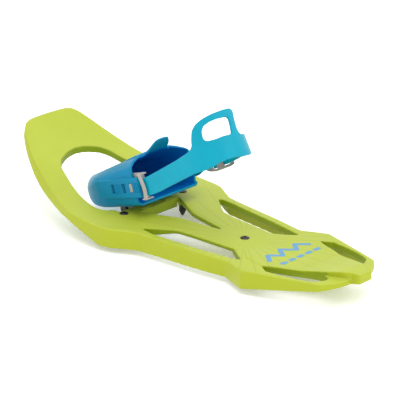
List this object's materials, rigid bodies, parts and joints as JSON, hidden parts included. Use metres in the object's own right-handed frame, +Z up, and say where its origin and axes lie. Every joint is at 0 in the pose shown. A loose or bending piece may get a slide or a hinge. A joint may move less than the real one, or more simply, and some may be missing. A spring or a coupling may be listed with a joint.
{
  "type": "snowshoe",
  "caption": "Moulded plastic snowshoe with an upswept toe, spikes, a tilting toe-cup binding and one heel strap with a pull loop.",
  "frame": {"origin": "middle of the length and width, on the plane of the three spike tips", "axes": "+X towards the toe, +Y towards the wearer's left, +Z up"},
  "size_m": [0.4806, 0.1852, 0.1621],
  "materials": {
    "deck_plastic": "satin",
    "cup_plastic": "satin",
    "strap_elastomer": "satin",
    "buckle_plastic": "satin",
    "rivet_steel": "brushed",
    "axle_steel": "ground",
    "spike_steel": "black oxide",
    "screw_steel": "black oxide",
    "bearing_plastic": "satin",
    "cap_plastic": "satin",
    "pad_rubber": "matt"
  },
  "bodies": {
    "frame": {"deck_frame": "deck_plastic", "front_spike_left": "spike_steel", "front_spike_right": "spike_steel", "rear_spike": "spike_steel", "front_screw_left": "screw_steel", "front_screw_right": "screw_steel", "rear_screw": "screw_steel", "axle": "axle_steel", "axle_bush_left": "bearing_plastic", "axle_bush_right": "bearing_plastic", "axle_washer_left": "bearing_plastic", "axle_washer_right": "bearing_plastic", "axle_cap_left": "cap_plastic", "axle_cap_right": "cap_plastic", "rest_pad_left": "pad_rubber", "rest_pad_right": "pad_rubber"},
    "binding": {"toe_cup": "cup_plastic", "strap_clip_left": "buckle_plastic", "buckle_rivet_right": "rivet_steel"},
    "strap": {"heel_strap": "strap_elastomer", "strap_slider_right": "buckle_plastic"}
  },
  "joints": [
    {"name": "binding_pivot", "type": "hinge", "parent": "frame", "child": "binding", "pos_m": [0.0839, 0, 0.0239], "axis": [0, 1, 0], "range_deg": [-17, 45]},
    {"name": "heel_strap_swing", "type": "hinge", "parent": "binding", "child": "strap", "pos_m": [0.03054, 0, 0.06975], "axis": [0, 1, 0], "range_deg": [-15, 18]}
  ]
}
